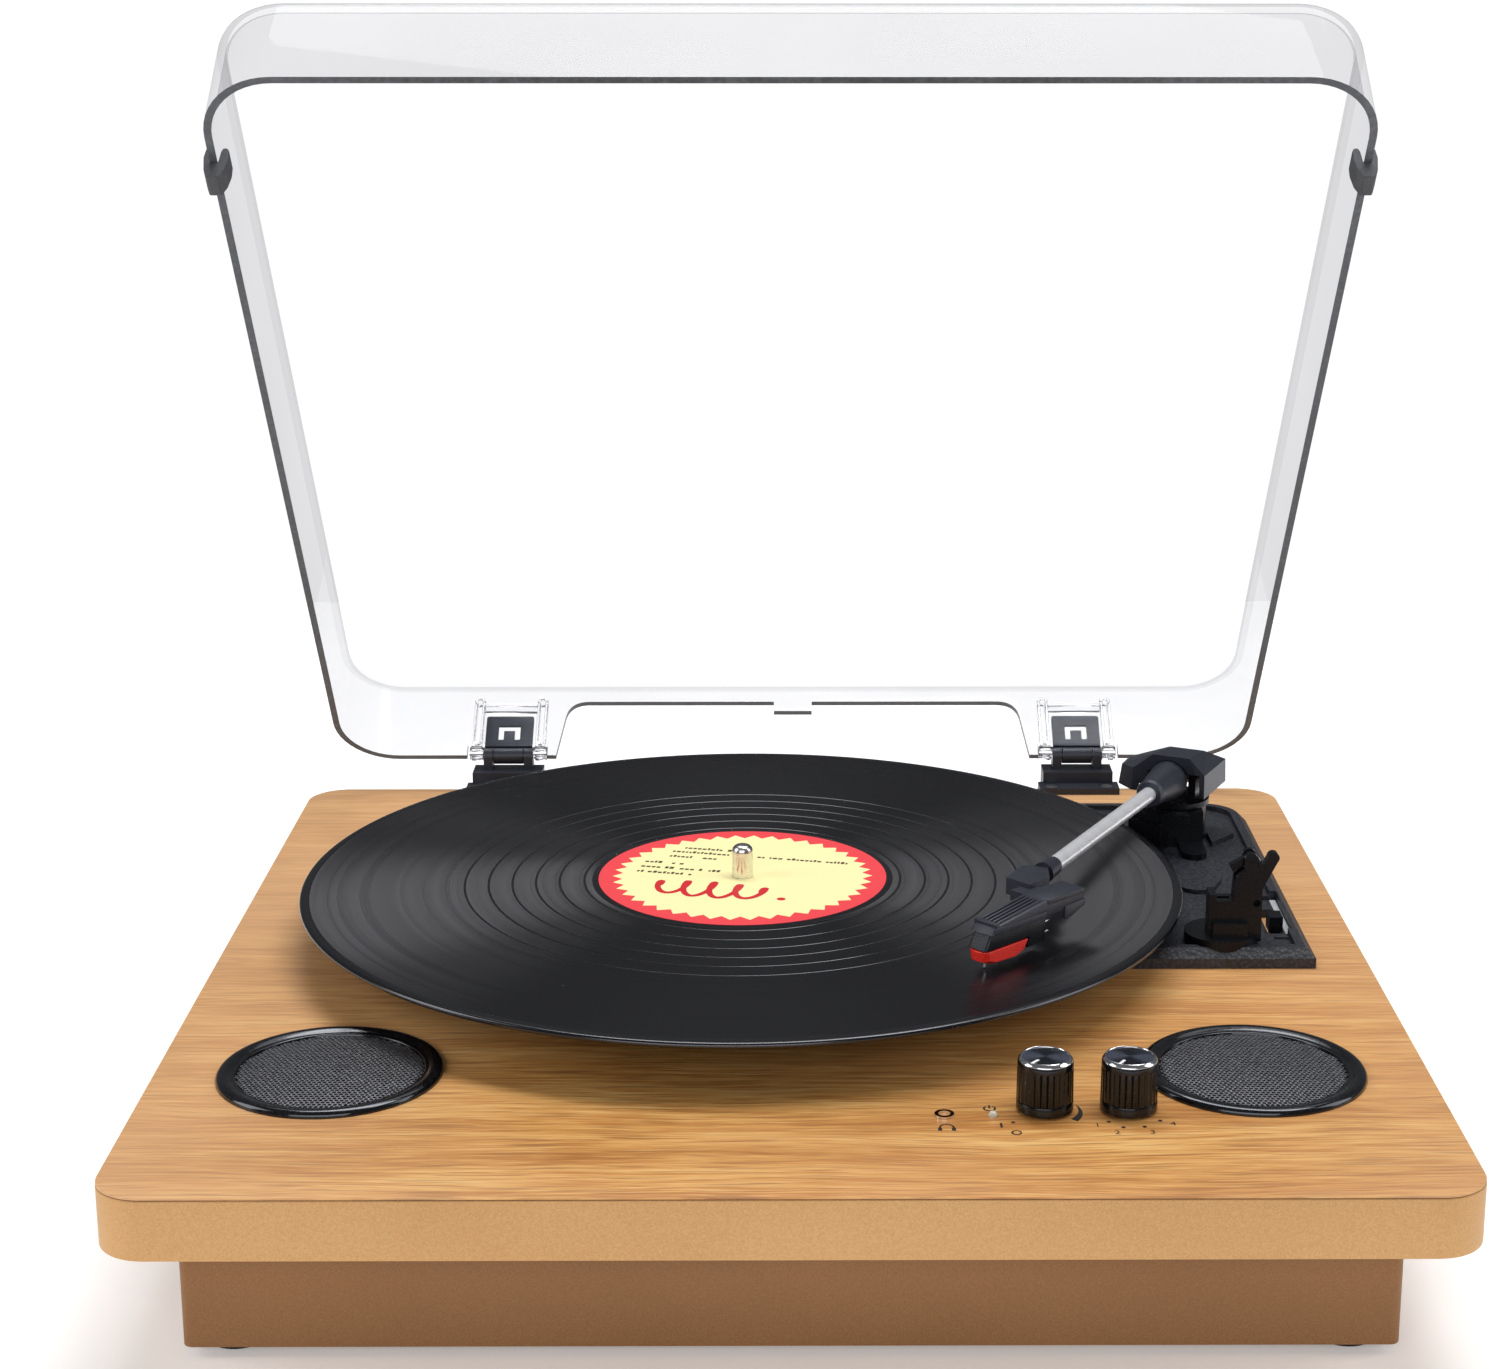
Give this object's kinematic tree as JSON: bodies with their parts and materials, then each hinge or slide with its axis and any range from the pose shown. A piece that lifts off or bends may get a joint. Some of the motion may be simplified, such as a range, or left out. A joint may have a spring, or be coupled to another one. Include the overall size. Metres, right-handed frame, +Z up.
{
  "type": "turntable record player",
  "caption": "Wooden-cased belt-drive record player with built-in speakers, straight tonearm, cue lever, clear hinged dust cover and a record on its platter.",
  "frame": {"origin": "centre of the whole part's footprint with the cover open, on the plane the rubber feet stand on", "axes": "+Z up, +Y to the back (hinge side), +X to the right (tonearm side)"},
  "size_m": [0.386, 0.4082, 0.3717],
  "materials": {
    "oak_veneer": "satin",
    "tan_board": "matt",
    "raw_wood": "matt",
    "dark_board": "matt",
    "rubber": "matt",
    "zinc_steel": "satin",
    "brass": "satin",
    "chrome": "polished",
    "black_metal": "satin",
    "vinyl": "gloss",
    "label_paper": "matt",
    "textured_black": "fine grain",
    "black_plastic": "satin",
    "gloss_black": "gloss",
    "grey_strip": "matt",
    "red_plastic": "satin",
    "aluminium": "satin",
    "led_lens": "gloss",
    "circuit_green": "satin",
    "nylon": "satin",
    "clear_acrylic": "clear gloss"
  },
  "bodies": {
    "chassis": {"top_deck": "oak_veneer", "plinth_frame": "tan_board", "corner_blocks": "raw_wood", "bottom_panel": "dark_board", "rubber_feet": "rubber", "base_screws": "zinc_steel", "spindle_bush": "brass", "spindle": "chrome", "motor": "zinc_steel", "motor_plate": "zinc_steel", "motor_grommets": "rubber", "motor_screws": "zinc_steel", "drive_belt": "rubber", "tonearm_plate": "textured_black", "pivot_post": "black_plastic", "arm_rest": "black_plastic", "speed_scale": "grey_strip", "speaker_rings": "gloss_black", "speaker_grilles": "black_metal", "speaker_drivers": "black_metal", "speaker_screws": "zinc_steel", "volume_pot": "aluminium", "selector_switch": "aluminium", "headphone_jack": "chrome", "power_led": "led_lens", "amplifier_board": "circuit_green", "board_standoffs": "nylon", "rear_jack_plate": "textured_black", "rca_jacks": "nylon", "dc_inlet": "textured_black", "hinge_bases": "textured_black", "hinge_pins": "chrome", "hinge_screws": "zinc_steel"},
    "turntable": {"platter": "black_metal", "platter_mat": "rubber", "vinyl_record": "vinyl", "record_label": "label_paper"},
    "motor_rotor": {"motor_pulley": "brass"},
    "arm_pivot": {"arm_turret": "black_plastic", "arm_pin": "chrome"},
    "arm": {"arm_housing": "textured_black", "arm_collar": "textured_black", "arm_tube": "chrome", "head_elbow": "textured_black", "headshell": "textured_black", "cartridge_body": "black_plastic", "stylus_holder": "red_plastic", "stylus": "chrome"},
    "clip": {"arm_clip": "black_plastic"},
    "cue_handle": {"cue_lever": "black_plastic"},
    "cue_bar": {"cue_platform": "black_plastic"},
    "speed_switch": {"speed_slider": "black_plastic"},
    "volume": {"volume_knob": "gloss_black", "volume_shaft": "aluminium"},
    "selector": {"selector_knob": "gloss_black", "selector_shaft": "aluminium"},
    "cover": {"dust_cover": "clear_acrylic", "hinge_leaves": "textured_black", "lid_bumpers": "rubber"}
  },
  "joints": [
    {"name": "platter_spin", "type": "hinge", "parent": "chassis", "child": "turntable", "pos_m": [-0.0172, 0.01012, 0.0737], "axis": [0, 0, 1], "continuous": true},
    {"name": "pulley_spin", "type": "hinge", "parent": "chassis", "child": "motor_rotor", "pos_m": [-0.07377, 0.06668, 0.0637], "axis": [0, 0, 1], "continuous": true},
    {"name": "tonearm_swing", "type": "hinge", "parent": "chassis", "child": "arm_pivot", "pos_m": [0.1432, 0.09432, 0.0787], "axis": [0, 0, 1], "range_deg": [-20, 25.5]},
    {"name": "tonearm_lift", "type": "hinge", "parent": "arm_pivot", "child": "arm", "pos_m": [0.1432, 0.09432, 0.0886], "axis": [-0.8988, 0.4384, 0], "range_deg": [0, 1.12]},
    {"name": "arm_clip_swing", "type": "hinge", "parent": "chassis", "child": "clip", "pos_m": [0.153, -0.01808, 0.0939], "axis": [0, 1, 0], "range_deg": [0, 60]},
    {"name": "cue_lever_turn", "type": "hinge", "parent": "chassis", "child": "cue_handle", "pos_m": [0.1553, -0.01188, 0.0787], "axis": [0, 1, 0], "range_deg": [0, 55]},
    {"name": "cue_bar_rise", "type": "slide", "parent": "chassis", "child": "cue_bar", "axis": [0, 0, 1], "range_m": [0, 0.00242]},
    {"name": "speed_slide", "type": "slide", "parent": "chassis", "child": "speed_switch", "axis": [0, 1, 0], "range_m": [0, 0.014]},
    {"name": "volume_turn", "type": "hinge", "parent": "chassis", "child": "volume", "pos_m": [0.074, -0.14508, 0.0667], "axis": [0, 0, 1], "range_deg": [-240, 30]},
    {"name": "selector_turn", "type": "hinge", "parent": "chassis", "child": "selector", "pos_m": [0.0986, -0.14508, 0.0667], "axis": [0, 0, 1], "range_deg": [-60, 30]},
    {"name": "cover_hinge", "type": "hinge", "parent": "chassis", "child": "cover", "pos_m": [0, 0.18092, 0.0707], "axis": [1, 0, 0], "range_deg": [0, 52.74]}
  ],
  "couplings": [
    {"joint": "pulley_spin", "follows": "platter_spin", "ratio": 10},
    {"joint": "tonearm_lift", "follows": "cue_lever_turn", "ratio": 0.02},
    {"joint": "cue_bar_rise", "follows": "cue_lever_turn", "m_per_rad": 0.0025002}
  ]
}
